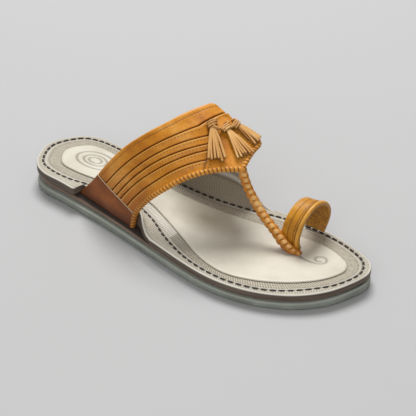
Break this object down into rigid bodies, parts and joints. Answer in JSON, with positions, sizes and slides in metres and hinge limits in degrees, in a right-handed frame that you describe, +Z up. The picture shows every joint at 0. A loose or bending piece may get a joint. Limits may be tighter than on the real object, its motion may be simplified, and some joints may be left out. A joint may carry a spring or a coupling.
{
  "type": "kolhapuri sandal",
  "caption": "Right kolhapuri sandal: pleated wide instep band, braided thong, big-toe ring and tassels on a layered flat sole.",
  "frame": {"origin": "on the floor under the sandal, at the middle of its length and on the sole's long axis", "axes": "+X to the toe, +Y to the wearer's left, which is the inner side of this right shoe, +Z up"},
  "size_m": [0.2641, 0.0906, 0.0889],
  "materials": {
    "outsole_rubber": "matt sage-grey rubber sheet",
    "midsole_leather": "matt brown leather layer",
    "footbed_leather": "ivory leather with a woven border",
    "pad_leather": "smooth ivory leather",
    "strap_leather": "waxed mustard-tan leather",
    "tab_leather": "waxed red-brown leather",
    "tassel_leather": "soft light-tan leather strips"
  },
  "bodies": {
    "root": {"outsole": "outsole_rubber", "midsole": "midsole_leather", "topsole": "footbed_leather", "insole": "pad_leather", "upper": "strap_leather", "tab_lateral": "tab_leather", "tab_medial": "tab_leather", "tassel_outer": "tassel_leather", "tassel_middle": "tassel_leather", "tassel_inner": "tassel_leather"}
  },
  "joints": []
}
